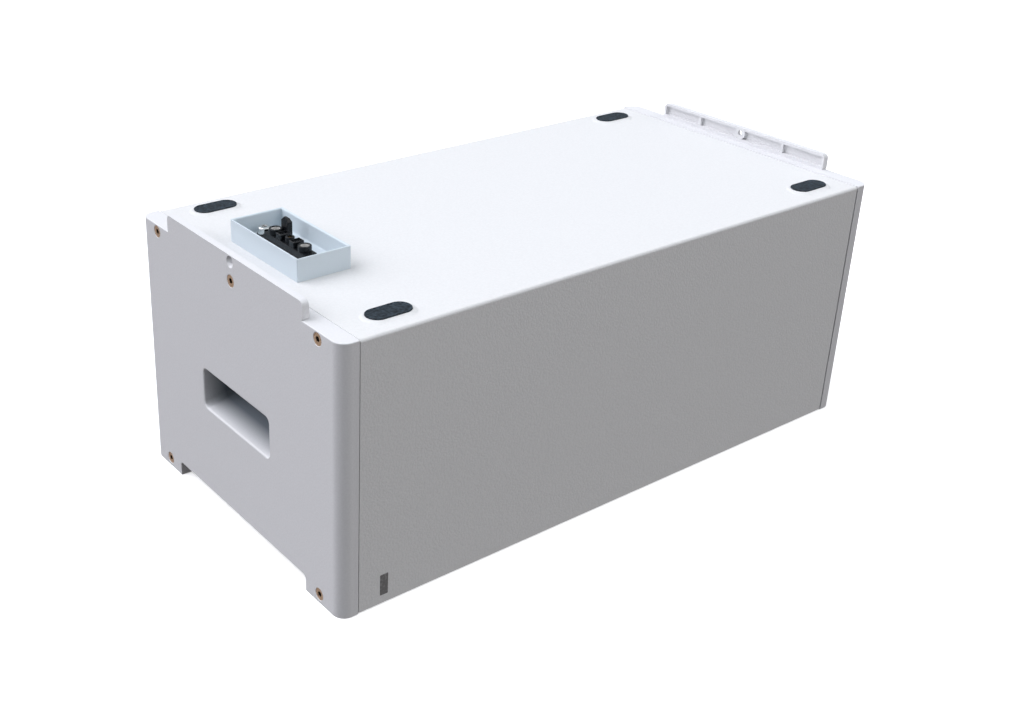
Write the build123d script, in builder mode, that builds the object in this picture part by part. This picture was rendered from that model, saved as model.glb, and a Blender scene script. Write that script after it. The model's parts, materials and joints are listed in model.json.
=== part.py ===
"""Stackable home-battery module: sheet-metal case, two moulded end caps, blind-mate connectors and cells.

Millimetres. X runs along the length, with the connector near the -X end; Y runs across; Z is up.
The origin is the centre of the footprint, at the level of the feet.
"""
import math
import os

from build123d import *

# Overall sizes
length = 585.0
width = 298.0
cap_height = 232.0
cap_depth = 16.2
cap_wall = 3.0
cap_corner_radius = 10.5
rib_spot = 78.0
rib_thickness = 1.8
seam = 1.0
lip_top = 231.4
lip_height = 1.0
lip_half = 146.0
case_width = 297.0
case_bottom = 0.8
case_top = 231.8
sheet = 1.5
bend_radius = 2.6

# Stacking tongue and the notch that takes the tongue of the module below
tongue_half = 101.0
tongue_top = 246.9
tongue_depth = 6.0
tongue_skin = 2.5
tongue_corner = 4.5
rib_offset = 52.0
rib_width = 2.6
rail_height = 2.6
boss_radius = 6.2
tongue_foot_rail = 3.4
tongue_root = 2.0
tongue_hole_z = 241.2
tongue_hole_radius = 2.75
tongue_sink_radius = 4.9
notch_height = 13.4
notch_corner = 4.0
notch_wall = 3.0

# Handle pocket
pocket_half = 51.0
pocket_low = 93.0
pocket_high = 129.0
pocket_depth = 45.0
pocket_rise = 13.0
pocket_corner = 5.0
pocket_lip = 1.6

# Cap screws: (y, z) of each countersunk head
cap_screw_spots = [(-120.3, 225.7), (0.0, 225.4), (120.3, 225.7), (-120.3, 8.2), (120.3, 8.2)]
cap_screw_radius = 2.4
cap_screw_head_radius = 5.1
cap_screw_length = 22.0
cap_screw_recess = 0.3
cap_sink_radius = 5.4

# Rubber pads on the case top
pad_x = 234.7
pad_y = 125.0
pad_length = 38.7
pad_width = 18.6
pad_height = 1.0
seat_height = 2.0
seat_margin = 0.6
seat_slope = 65.0
spigot_radius = 2.5

# Small window low on the front side
window_x = -252.0
window_z = 17.7
window_width = 7.2
window_height = 18.6
window_proud = 0.3

# Collar round the top connector
collar_x = -235.2
collar_y = 6.3
collar_length = 48.9
collar_width = 99.2
collar_wall = 2.0
collar_rim = 250.7
collar_floor = 235.0

# Top connector, measured along Y from the collar centre
connector_x = -234.7
housing_width = 11.0
housing_half = 29.8
housing_top = 242.1
housing_foot = 212.0
socket_top = 247.0
ring_wall = 1.0
ring_floor = 2.0
insert_ends = (4.7, 14.0, 28.5)
power_offset = 21.3
power_radius = 5.5
power_bore = 3.9
block_offset = 9.4
block_size = (10.0, 7.4)
centre_radius = 3.8
centre_bore = 2.4
ear_half = 45.0
ear_top = 237.0
stud_offset = 38.7
stud_radius = 5.6
stud_top = 242.8
key_size = (4.6, 9.4)
key_spot = (-226.3, 24.3)
key_shoulder = 252.4
key_tip = 255.2
tail_end = 206.0

# Bottom connector, in a recess that swallows the collar of the module below
recess_gap = 2.0
recess_wall = 2.0
recess_roof = 18.0
roof_thickness = 3.0
pin_reach = 4.2
shroud_reach = 9.0

# Cells: two rows of eight
cells_per_row = 8
cell_thickness = 44.0
cell_width = 135.0
cell_height = 150.0
cell_base = 12.0
cell_gap = 2.0
row_y = 69.5
first_cell_x = -112.0
terminal_offset = 45.0
terminal_height = 4.0
busbar_thickness = 3.0
end_plate = 8.0

# Derived places
half_length = length / 2
half_width = width / 2
seam_x = half_length - cap_depth
case_half = seam_x - seam
inner_half_width = case_width / 2 - sheet
seat_top = case_top + seat_height
seat_flank = seat_height * math.tan(math.radians(seat_slope))
seat_length = pad_length + 2 * (seat_margin + seat_flank)
seat_width = pad_width + 2 * (seat_margin + seat_flank)
cell_pitch = cell_thickness + cell_gap
cell_top = cell_base + cell_height
pack_low = first_cell_x - cell_thickness / 2
pack_high = first_cell_x + cell_pitch * (cells_per_row - 1) + cell_thickness / 2
busbar_level = cell_top + terminal_height
recess_x = collar_length + 2 * recess_gap
recess_y = collar_width + 2 * recess_gap
pad_spots = [(x, y) for x in (-pad_x, pad_x) for y in (-pad_y, pad_y)]
power_y = [collar_y + power_offset, collar_y - power_offset]
block_y = [collar_y + block_offset, collar_y - block_offset]
stud_y = [collar_y + stud_offset, collar_y - stud_offset]
side_names = {-1: "left", 1: "right"}

os.makedirs("parts", exist_ok=True)


def write(piece, label):
    """Label a finished sub-part and write it as a STEP file."""
    piece.part.label = label
    export_step(piece.part, f"parts/{label}.step")


# ---------------------------------------------------------------- case

def case_cover():
    """Folded sheet that makes the top and both long sides."""
    half = case_width / 2
    with BuildPart() as cover:
        with BuildSketch(Plane.YZ.offset(-case_half)):
            with BuildLine():
                Polyline((-half, case_bottom), (-half, case_top), (half, case_top), (half, case_bottom),
                         (half - sheet, case_bottom), (half - sheet, case_top - sheet),
                         (-half + sheet, case_top - sheet), (-half + sheet, case_bottom), close=True)
            make_face()
        extrude(amount=2 * case_half)
        along = cover.edges().filter_by(Axis.X)
        fillet(along.filter_by(lambda e: e.center().Z > case_top - 0.1), bend_radius)
        fillet(along.filter_by(lambda e: abs(e.center().Z - case_top + sheet) < 0.1), bend_radius - sheet)
        with BuildSketch(Plane.XY.offset(case_top)):
            with Locations((connector_x, collar_y)):
                Rectangle(30, 68)
            with Locations(*[(connector_x, y) for y in stud_y]):
                Circle(2.4)
        extrude(amount=-2 * sheet, mode=Mode.SUBTRACT)
        # pressed seats under the pads
        with BuildSketch(Plane.XY.offset(case_top)):
            with Locations(*pad_spots):
                SlotOverall(seat_length, seat_width)
        extrude(amount=seat_height, taper=seat_slope)
        with BuildSketch(Plane.XY.offset(case_top - sheet)):
            with Locations(*pad_spots):
                SlotOverall(seat_length - sheet, seat_width - sheet)
        extrude(amount=seat_height, taper=seat_slope, mode=Mode.SUBTRACT)
        with BuildSketch(Plane.XY.offset(seat_top)):
            with Locations(*pad_spots):
                Circle(spigot_radius + 0.1)
        extrude(amount=-2 * sheet, mode=Mode.SUBTRACT)
        with BuildSketch(Plane.XZ.offset(half)):
            with Locations((window_x, window_z)):
                RectangleRounded(window_width + 0.2, window_height + 0.2, 0.6)
        extrude(amount=-2 * sheet, mode=Mode.SUBTRACT)
    write(cover, "case_cover")


def base_pan():
    """Floor of the case, with upturned flanges that fit inside the cover."""
    reach = inner_half_width - 0.1
    with BuildPart() as pan:
        with BuildSketch(Plane.XY.offset(case_bottom)):
            Rectangle(2 * case_half, 2 * reach)
            with Locations((collar_x, collar_y)):
                Rectangle(recess_x, recess_y, mode=Mode.SUBTRACT)
        extrude(amount=sheet)
        with BuildSketch(Plane.XY.offset(case_bottom + sheet)):
            with Locations((0, reach - sheet / 2), (0, -reach + sheet / 2)):
                Rectangle(2 * (case_half - 16), sheet)
        extrude(amount=14)
        with BuildSketch(Plane.XY.offset(case_bottom + sheet)):
            for x in range(-150, 250, 50):
                with Locations((x, 0)):
                    SlotOverall(240, 10, rotation=90)
        extrude(amount=1.2, taper=30)
    write(pan, "base_pan")


def status_window():
    """Small dark window, let into the front side and standing slightly proud."""
    with BuildPart() as window:
        with BuildSketch(Plane.XZ.offset(case_width / 2 + window_proud)):
            with Locations((window_x, window_z)):
                RectangleRounded(window_width, window_height, 0.5)
        extrude(amount=-sheet - window_proud)
        front = window.faces().sort_by(Axis.Y)[0]
        chamfer(front.edges(), 0.12)
    write(window, "status_window")


def top_pads():
    """Four rubber pads that carry the next module, each held by a spigot in the cover."""
    for x_side in (-1, 1):
        for y_side, y_name in ((-1, "front"), (1, "back")):
            spot = (x_side * pad_x, y_side * pad_y)
            with BuildPart() as pad:
                with BuildSketch(Plane.XY.offset(seat_top)):
                    with Locations(spot):
                        SlotOverall(pad_length, pad_width)
                extrude(amount=pad_height)
                fillet(pad.faces().sort_by(Axis.Z)[-1].edges(), 0.4)
                with BuildSketch(Plane.XY.offset(seat_top)):
                    with Locations(spot):
                        Circle(spigot_radius)
                extrude(amount=-3.5)
            write(pad, f"top_pad_{y_name}_{side_names[x_side]}")


# ---------------------------------------------------------------- end caps

def pocket_solid(side, grow):
    """Space of a handle pocket, grown by a wall thickness; its floor curves up towards the back."""
    mouth = side * (half_length - grow)
    back = side * (half_length - pocket_depth - grow)
    middle = (mouth + back) / 2
    low = pocket_low - grow
    high = pocket_high + grow
    with BuildPart() as pocket:
        with BuildSketch(Plane.XZ):
            with BuildLine():
                Polyline((mouth, low), (mouth, high), (back, high), (back, low + pocket_rise))
                ThreePointArc((back, low + pocket_rise), (middle, low + 0.34 * pocket_rise), (mouth, low))
            make_face()
        extrude(amount=pocket_half + grow, both=True)
        ends = [pocket.faces().sort_by(Axis.Y)[0], pocket.faces().sort_by(Axis.Y)[-1]]
        rounded = [e for face in ends for e in face.edges() if abs(e.center().X - mouth) > 0.1]
        fillet(rounded, pocket_corner + grow / 2)
    return pocket.part


def cap_block(side, inset):
    """Solid body of an end cap without its tongue, set in by a wall on all but the open side."""
    start = side * (half_length - inset)
    edge = half_width - inset
    half = tongue_half + inset
    notch = notch_height + inset
    with BuildPart() as block:
        with BuildSketch(Plane.YZ.offset(start)):
            with BuildLine():
                Polyline((-edge, inset), (-edge, cap_height - inset), (edge, cap_height - inset), (edge, inset),
                         (half, inset), (half, notch), (-half, notch), (-half, inset), close=True)
            make_face()
        extrude(amount=-side * (cap_depth - inset))
        notch_corners = block.edges().filter_by(Axis.X).filter_by(
            lambda e: abs(e.center().Z - notch) < 0.1)
        fillet(notch_corners, notch_corner)
        uprights = block.edges().filter_by(Axis.Z).filter_by(
            lambda e: abs(e.center().X - start) < 0.1 and abs(e.center().Y) > edge - 0.1)
        fillet(uprights, cap_corner_radius - inset)
    return block.part


def tongue_block(side):
    """Stacking tongue: a skin stiffened by rails above and below, end ribs, middle ribs and a boss."""
    rails = (cap_height + tongue_foot_rail, tongue_top - rail_height)
    with BuildPart() as tongue:
        with BuildSketch(Plane.YZ.offset(side * half_length)) as outline:
            with Locations((0, (cap_height - tongue_root + tongue_top) / 2)):
                Rectangle(2 * tongue_half, tongue_top - cap_height + tongue_root)
            fillet(outline.vertices().group_by(Axis.Z)[-1], tongue_corner)
        extrude(amount=-side * tongue_depth)
        with BuildSketch(Plane.YZ.offset(side * (half_length - tongue_skin))):
            with Locations((0, sum(rails) / 2)):
                Rectangle(2 * tongue_half - 2 * rib_width, rails[1] - rails[0])
            with Locations((-rib_offset, tongue_hole_z), (rib_offset, tongue_hole_z)):
                Rectangle(rib_width, 2 * (rails[1] - rails[0]), mode=Mode.SUBTRACT)
            with Locations((0, tongue_hole_z)):
                Circle(boss_radius, mode=Mode.SUBTRACT)
        extrude(amount=-side * (tongue_depth - tongue_skin), mode=Mode.SUBTRACT)
    return tongue.part


def end_cap(side):
    """Moulded cap: face, skirt, stacking tongue, bottom notch, handle pocket and screw bosses."""
    face_plane = Plane.YZ.offset(side * half_length)
    outward = Plane.YZ if side > 0 else Plane((0, 0, 0), x_dir=(0, -1, 0), z_dir=(-1, 0, 0))
    block = cap_block(side, 0)
    core = cap_block(side, cap_wall)
    pocket_shell = pocket_solid(side, cap_wall)
    pocket_space = pocket_solid(side, 0)
    with BuildPart() as cap:
        add(block)
        outer_rim = cap.faces().sort_by(Axis.X)[0 if side < 0 else -1].edges()
        fillet(outer_rim.filter_by(Axis.Y), 0.8)
        add(core, mode=Mode.SUBTRACT)
        # screw bosses and stiffening ribs between the face and the open side
        with BuildSketch(face_plane):
            with Locations(*cap_screw_spots):
                Circle(6)
        extrude(amount=-side * cap_depth)
        with BuildSketch(Plane.YZ.offset(side * (half_length - cap_wall))):
            for y in (-rib_spot, rib_spot):
                with Locations((y, (cap_height + notch_height) / 2)):
                    Rectangle(rib_thickness, cap_height - notch_height - 2)
        extrude(amount=-side * 7)
        add(tongue_block(side))
        # wall behind the notch
        with BuildSketch(Plane.YZ.offset(side * seam_x)):
            with Locations((0, (case_bottom + notch_height + 1) / 2)):
                Rectangle(2 * tongue_half + 3, notch_height + 1 - case_bottom)
        extrude(amount=side * notch_wall)
        # lip that closes the seam along the top
        with BuildSketch(Plane.YZ.offset(side * seam_x)):
            with Locations((0, lip_top - lip_height / 2)):
                Rectangle(2 * lip_half, lip_height)
        extrude(amount=-side * (seam - 0.05))
        # handle pocket with a softened mouth
        add(pocket_shell)
        add(pocket_space, mode=Mode.SUBTRACT)
        front = cap.faces().group_by(Axis.X)[0 if side < 0 else -1].sort_by(SortBy.AREA)[-1]
        mouth = front.inner_wires()
        fillet(mouth.edges().filter_by(lambda e: pocket_low - 1 < e.center().Z < pocket_high + 1), pocket_lip)
        # tongue eyelet and countersunk screw holes
        with Locations(outward.offset(half_length)):
            with Locations((0, tongue_hole_z)):
                CounterSinkHole(tongue_hole_radius, tongue_sink_radius, depth=tongue_depth)
            with Locations(*cap_screw_spots):
                CounterSinkHole(cap_screw_radius + 0.3, cap_sink_radius, depth=cap_depth)
    write(cap, f"{side_names[side]}_end_cap")


def cap_gasket(side):
    """Dark rubber frame squeezed between cap and case, set back in the seam."""
    frame_half = half_width - 1.4
    low = case_bottom + 1.1
    high = lip_top - lip_height - 0.1
    with BuildPart() as gasket:
        with BuildSketch(Plane.YZ.offset(side * seam_x)):
            with Locations((0, (low + high) / 2)):
                RectangleRounded(2 * frame_half, high - low, 1.5)
                Rectangle(2 * frame_half - 7, high - low - 7, mode=Mode.SUBTRACT)
            with Locations(*cap_screw_spots):
                Circle(cap_screw_radius + 0.3, mode=Mode.SUBTRACT)
        extrude(amount=-side * seam)
    write(gasket, f"{side_names[side]}_cap_gasket")


def bulkhead(side):
    """Aluminium end frame inside the case: a plate with a flange all round and a pocket window."""
    plate = 1.6
    flange = 10.0
    low = case_bottom + sheet + 0.1
    high = case_top - sheet - 0.1
    middle = (low + high) / 2
    reach = inner_half_width - 0.1
    with BuildPart() as frame:
        with BuildSketch(Plane.YZ.offset(side * case_half)):
            with Locations((0, middle)):
                RectangleRounded(2 * reach, high - low, 1.6)
        extrude(amount=-side * flange)
        with BuildSketch(Plane.YZ.offset(side * (case_half - plate))):
            with Locations((0, middle)):
                Rectangle(2 * reach - 2 * plate, high - low - 2 * plate)
        extrude(amount=-side * flange, mode=Mode.SUBTRACT)
        with BuildSketch(Plane.YZ.offset(side * case_half)):
            with Locations((0, (pocket_low + pocket_high) / 2)):
                RectangleRounded(2 * pocket_half + 14, pocket_high - pocket_low + 14, 8)
            with Locations(*[(y, z) for y in (-100, 100) for z in (60, 170)]):
                RectangleRounded(60, 70, 10)
            with Locations(*cap_screw_spots):
                Circle(cap_screw_radius + 0.1)
        extrude(amount=-side * plate, mode=Mode.SUBTRACT)
    write(frame, f"{side_names[side]}_bulkhead")


def cap_screws(side):
    """Five countersunk screws with hexagon sockets that hold a cap to its bulkhead."""
    head_face = side * (half_length - cap_screw_recess)
    head_depth = cap_screw_head_radius - cap_screw_radius
    with BuildPart() as screws:
        with BuildSketch(Plane.YZ.offset(head_face)):
            with Locations(*cap_screw_spots):
                Circle(cap_screw_head_radius)
        extrude(amount=-side * head_depth, taper=45)
        with BuildSketch(Plane.YZ.offset(head_face)):
            with Locations(*cap_screw_spots):
                Circle(cap_screw_radius)
        extrude(amount=-side * cap_screw_length)
        with BuildSketch(Plane.YZ.offset(head_face)):
            with Locations(*cap_screw_spots):
                RegularPolygon(2.5, 6)
        extrude(amount=-side * 2.0, mode=Mode.SUBTRACT)
    write(screws, f"{side_names[side]}_cap_screws")


# ---------------------------------------------------------------- top connector

def connector_collar():
    """Thin-walled tray that guards the top connector."""
    with BuildPart() as collar:
        with BuildSketch(Plane.XY.offset(case_top)):
            with Locations((collar_x, collar_y)):
                RectangleRounded(collar_length, collar_width, 1.2)
        extrude(amount=collar_rim - case_top)
        with BuildSketch(Plane.XY.offset(collar_floor)):
            with Locations((collar_x, collar_y)):
                Rectangle(collar_length - 2 * collar_wall, collar_width - 2 * collar_wall)
        extrude(amount=collar_rim - collar_floor, mode=Mode.SUBTRACT)
        floor_edges = collar.edges().filter_by(lambda e: abs(e.center().Z - collar_floor) < 0.01)
        fillet(floor_edges, 1.5)
        rim = collar.faces().sort_by(Axis.Z)[-1]
        fillet(rim.outer_wire().edges(), 0.35)
        rim = collar.faces().sort_by(Axis.Z)[-1]
        fillet(rim.inner_wires()[0].edges(), 1.2)
        with BuildSketch(Plane.XY.offset(case_top)):
            with Locations((connector_x, collar_y)):
                Rectangle(29.6, 67.6)
        extrude(amount=-sheet - 1)
        with BuildSketch(Plane.XY.offset(collar_floor)):
            with Locations((connector_x, collar_y)):
                Rectangle(housing_width + 0.6, 2 * housing_half + 0.6)
            with Locations(*[(connector_x, y) for y in stud_y]):
                Circle(2.3)
        extrude(amount=-8, mode=Mode.SUBTRACT)
    write(collar, "connector_collar")


def contact_grid(y):
    """Places of the six small contacts in one signal block."""
    return [(connector_x + dx, y + dy) for dx in (-2.8, 0, 2.8) for dy in (-1.3, 1.3)]


def top_connector_body():
    """Black frame on a screwed ear plate, with a guide key; it holds the inserts."""
    cavity = housing_width / 2 - ring_wall + 0.05
    with BuildPart() as body:
        with BuildSketch(Plane.XY.offset(housing_foot)):
            with Locations((connector_x, collar_y)):
                Rectangle(housing_width, 2 * housing_half)
        extrude(amount=housing_top - housing_foot)
        with BuildSketch(Plane.XY.offset(collar_floor)):
            with Locations((connector_x, collar_y)):
                SlotOverall(2 * ear_half, housing_width + 1, rotation=90)
            with Locations(((key_spot[0] + connector_x) / 2, key_spot[1])):
                Rectangle(2 * (key_spot[0] - connector_x) - housing_width + 3, key_size[1] + 2)
        extrude(amount=ear_top - collar_floor)
        # guide key with a tapered tip
        with BuildSketch(Plane.XY.offset(collar_floor)):
            with Locations(key_spot):
                Rectangle(*key_size)
        extrude(amount=key_shoulder - collar_floor)
        with BuildSketch(Plane.XY.offset(key_shoulder)):
            with Locations(key_spot):
                Rectangle(*key_size)
        with BuildSketch(Plane.XY.offset(key_tip)):
            with Locations(key_spot):
                Rectangle(key_size[0] - 2.6, key_size[1] - 4.4)
        loft()
        # cavity for the inserts, with a ledge that they stand on
        with BuildSketch(Plane.XY.offset(housing_foot + ring_floor)):
            with Locations((connector_x, collar_y)):
                Rectangle(2 * cavity, 2 * insert_ends[2] + 0.1)
        extrude(amount=housing_top - housing_foot, mode=Mode.SUBTRACT)
        with BuildSketch(Plane.XY.offset(housing_foot)):
            with Locations((connector_x, collar_y)):
                Rectangle(2 * cavity - 1.6, 2 * insert_ends[2] - 1.6)
        extrude(amount=ring_floor, mode=Mode.SUBTRACT)
        with BuildSketch(Plane.XY.offset(ear_top)):
            with Locations(*[(connector_x, y) for y in stud_y]):
                Circle(2.3)
        extrude(amount=-4, mode=Mode.SUBTRACT)
    write(body, "top_connector_body")


def insert_base(low, high):
    """Block that fills the frame between two distances along Y from the collar centre."""
    half = housing_width / 2 - ring_wall
    with BuildPart() as base:
        with BuildSketch(Plane.XY.offset(housing_foot + ring_floor)):
            with Locations((connector_x, collar_y + (low + high) / 2)):
                Rectangle(2 * half, high - low)
        extrude(amount=housing_top - housing_foot - ring_floor)
    return base.part


def top_connector_inserts():
    """Five inserts side by side in the frame: power, signal, centre, signal, power."""
    centre_end, signal_end, power_end = insert_ends
    spans = [(-centre_end, centre_end)]
    for near, far in ((centre_end + 0.1, signal_end), (signal_end + 0.1, power_end)):
        spans += [(near, far), (-far, -near)]
    with BuildPart() as inserts:
        for span in spans:
            add(insert_base(*span))
        with BuildSketch(Plane.XY.offset(housing_top)):
            with Locations(*[(connector_x, y) for y in power_y]):
                Circle(power_radius)
            with Locations(*[(connector_x, y) for y in block_y]):
                RectangleRounded(*block_size, 0.8)
            with Locations((connector_x, collar_y)):
                Circle(centre_radius)
        extrude(amount=socket_top - housing_top)
        fillet(inserts.faces().group_by(Axis.Z)[-1].edges(), 0.5)
        with BuildSketch(Plane.XY.offset(socket_top)):
            with Locations(*[(connector_x, y) for y in power_y]):
                Circle(power_bore)
            with Locations((connector_x, collar_y)):
                Circle(centre_bore)
        extrude(amount=-18, mode=Mode.SUBTRACT)
        with BuildSketch(Plane.XY.offset(socket_top)):
            with Locations(*[(connector_x, y) for y in power_y]):
                Circle(2.3)
            with Locations((connector_x, collar_y)):
                Circle(1.3)
            for y in block_y:
                with Locations(*contact_grid(y)):
                    Circle(0.8)
        extrude(amount=-(socket_top - housing_foot), mode=Mode.SUBTRACT)
        with BuildSketch(Plane.XY.offset(socket_top)):
            with Locations(*[(connector_x, y) for y in block_y]):
                Rectangle(block_size[0] - 1.8, block_size[1] - 1.8)
        extrude(amount=-1.2, mode=Mode.SUBTRACT)
    write(inserts, "top_connector_inserts")


def top_connector_metal():
    """Power sleeves, signal contacts and the two studs that hold the connector."""
    sleeve_foot = socket_top - 18
    with BuildPart() as power:
        with BuildSketch(Plane.XY.offset(sleeve_foot)):
            with Locations(*[(connector_x, y) for y in power_y]):
                Circle(power_bore - 0.1)
        extrude(amount=socket_top - sleeve_foot - 0.6)
        with BuildSketch(Plane.XY.offset(socket_top)):
            with Locations(*[(connector_x, y) for y in power_y]):
                Circle(3.1)
        extrude(amount=-14, mode=Mode.SUBTRACT)
        with BuildSketch(Plane.XY.offset(sleeve_foot)):
            with Locations(*[(connector_x, y) for y in power_y]):
                Circle(2.2)
        extrude(amount=tail_end - sleeve_foot)
    write(power, "top_power_contacts")

    with BuildPart() as signal:
        with BuildSketch(Plane.XY.offset(sleeve_foot)):
            with Locations((connector_x, collar_y)):
                Circle(centre_bore - 0.1)
        extrude(amount=socket_top - sleeve_foot - 1.2)
        with BuildSketch(Plane.XY.offset(socket_top)):
            with Locations((connector_x, collar_y)):
                Circle(1.6)
        extrude(amount=-12, mode=Mode.SUBTRACT)
        with BuildSketch(Plane.XY.offset(tail_end + 3)):
            with Locations((connector_x, collar_y)):
                Circle(1.2)
        extrude(amount=sleeve_foot - tail_end - 3)
        with BuildSketch(Plane.XY.offset(tail_end + 3)):
            for y in block_y:
                with Locations(*contact_grid(y)):
                    Circle(0.7)
        extrude(amount=socket_top - tail_end - 6)
    write(signal, "top_signal_contacts")

    with BuildPart() as studs:
        with BuildSketch(Plane.XY.offset(ear_top)):
            with Locations(*[(connector_x, y) for y in stud_y]):
                Circle(stud_radius)
        extrude(amount=stud_top - ear_top)
        fillet(studs.faces().group_by(Axis.Z)[-1].edges(), 1.3)
        with BuildSketch(Plane.XY.offset(ear_top)):
            with Locations(*[(connector_x, y) for y in stud_y]):
                Circle(2.0)
        extrude(amount=-11)
        with BuildSketch(Plane.XY.offset(stud_top)):
            with Locations(*[(connector_x, y) for y in stud_y]):
                RegularPolygon(2.4, 6)
        extrude(amount=-2.5, mode=Mode.SUBTRACT)
    write(studs, "top_connector_screws")


# ---------------------------------------------------------------- bottom connector

def bottom_socket():
    """Recess in the base that takes the collar below, with its connector, pins and screws."""
    pan_top = case_bottom + sheet
    flange_screws = [(collar_x + dx, collar_y + dy) for dx in (-18, 18) for dy in (-58, 58)]
    with BuildPart() as frame:
        with BuildSketch(Plane.XY.offset(pan_top)):
            with Locations((collar_x, collar_y)):
                RectangleRounded(recess_x + 6, recess_y + 22, 3)
        extrude(amount=2)
        with BuildSketch(Plane.XY.offset(pan_top)):
            with Locations((collar_x, collar_y)):
                Rectangle(recess_x + 2 * recess_wall, recess_y + 2 * recess_wall)
        extrude(amount=recess_roof + roof_thickness - pan_top)
        with BuildSketch(Plane.XY.offset(pan_top)):
            with Locations((collar_x, collar_y)):
                Rectangle(recess_x, recess_y)
        extrude(amount=recess_roof - pan_top, mode=Mode.SUBTRACT)
        with BuildSketch(Plane.XY.offset(recess_roof)):
            with Locations((connector_x, collar_y)):
                Rectangle(housing_width + 8.6, 2 * housing_half + 8.6)
            with Locations(key_spot):
                Rectangle(key_size[0] + 1.2, key_size[1] + 1.2)
        extrude(amount=roof_thickness, mode=Mode.SUBTRACT)
        with BuildSketch(Plane.XY.offset(pan_top)):
            with Locations(*flange_screws):
                Circle(1.7)
        extrude(amount=2, mode=Mode.SUBTRACT)
    write(frame, "bottom_socket_frame")

    with BuildPart() as body:
        with BuildSketch(Plane.XY.offset(recess_roof)):
            with Locations((connector_x, collar_y)):
                Rectangle(housing_width + 8, 2 * housing_half + 8)
            with Locations(key_spot):
                Rectangle(key_size[0] + 1.2, key_size[1] + 1.2, mode=Mode.SUBTRACT)
        extrude(amount=roof_thickness)
        with BuildSketch(Plane.XY.offset(recess_roof + roof_thickness)):
            with Locations((connector_x, collar_y)):
                Rectangle(housing_width + 3, 2 * housing_half + 14)
            with Locations(key_spot):
                Rectangle(key_size[0] + 1.2, key_size[1] + 1.2, mode=Mode.SUBTRACT)
        extrude(amount=4)
        with BuildSketch(Plane.XY.offset(recess_roof)):
            with Locations(*[(connector_x, y) for y in power_y]):
                Circle(power_radius + 2.2)
                Circle(power_radius + 0.7, mode=Mode.SUBTRACT)
        extrude(amount=shroud_reach - recess_roof)
        with BuildSketch(Plane.XY.offset(recess_roof)):
            with Locations(*[(connector_x, y) for y in power_y]):
                Circle(2.4)
            with Locations((connector_x, collar_y)):
                Circle(1.5)
            for y in block_y:
                with Locations(*contact_grid(y)):
                    Circle(0.6)
        extrude(amount=roof_thickness + 4, mode=Mode.SUBTRACT)
    write(body, "bottom_connector_body")

    pin_foot = recess_roof + roof_thickness + 8
    with BuildPart() as power:
        with BuildSketch(Plane.XY.offset(pin_reach)):
            with Locations(*[(connector_x, y) for y in power_y]):
                Circle(2.3)
        extrude(amount=pin_foot - pin_reach)
        fillet(power.faces().group_by(Axis.Z)[0].edges(), 1.4)
    write(power, "bottom_power_pins")

    with BuildPart() as signal:
        with BuildSketch(Plane.XY.offset(pin_reach + 3)):
            with Locations((connector_x, collar_y)):
                Circle(1.4)
            for y in block_y:
                with Locations(*contact_grid(y)):
                    Circle(0.5)
        extrude(amount=pin_foot - pin_reach - 6)
    write(signal, "bottom_signal_pins")

    with BuildPart() as screws:
        with BuildSketch(Plane.XY.offset(pan_top + 2)):
            with Locations(*flange_screws):
                Circle(3)
        extrude(amount=2.2)
        fillet(screws.faces().group_by(Axis.Z)[-1].edges(), 0.8)
        with BuildSketch(Plane.XY.offset(pan_top)):
            with Locations(*flange_screws):
                Circle(1.5)
        extrude(amount=2)
        with BuildSketch(Plane.XY.offset(pan_top + 4.2)):
            with Locations(*flange_screws):
                RegularPolygon(1.4, 6)
        extrude(amount=-1.4, mode=Mode.SUBTRACT)
    write(screws, "bottom_frame_screws")


# ---------------------------------------------------------------- cell pack

def cell_spot(index):
    """Centre of a cell: the back row first, then the front row."""
    row, place = divmod(index, cells_per_row)
    return (first_cell_x + place * cell_pitch, row_y if row == 0 else -row_y)


def cells():
    """Sixteen prismatic cells, each a can with two terminals and a vent, in a node of its own."""
    for index in range(2 * cells_per_row):
        x, y = cell_spot(index)
        with BuildPart() as cell:
            with BuildSketch(Plane.XY.offset(cell_base)):
                with Locations((x, y)):
                    RectangleRounded(cell_thickness, cell_width, 3)
            extrude(amount=cell_height)
            fillet(cell.faces().sort_by(Axis.Z)[-1].edges(), 0.8)
            with BuildSketch(Plane.XY.offset(cell_top)):
                with Locations((x, y - terminal_offset), (x, y + terminal_offset)):
                    RectangleRounded(22, 22, 2)
            extrude(amount=terminal_height)
            with BuildSketch(Plane.XY.offset(busbar_level)):
                with Locations((x, y - terminal_offset), (x, y + terminal_offset)):
                    Circle(2.9)
            extrude(amount=busbar_thickness + 6)
            with BuildSketch(Plane.XY.offset(cell_top)):
                with Locations((x, y)):
                    SlotOverall(34, 14, rotation=90)
                    SlotOverall(31, 11, rotation=90, mode=Mode.SUBTRACT)
            extrude(amount=0.8)
        write(cell, f"cell_{index + 1:02d}")


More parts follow.
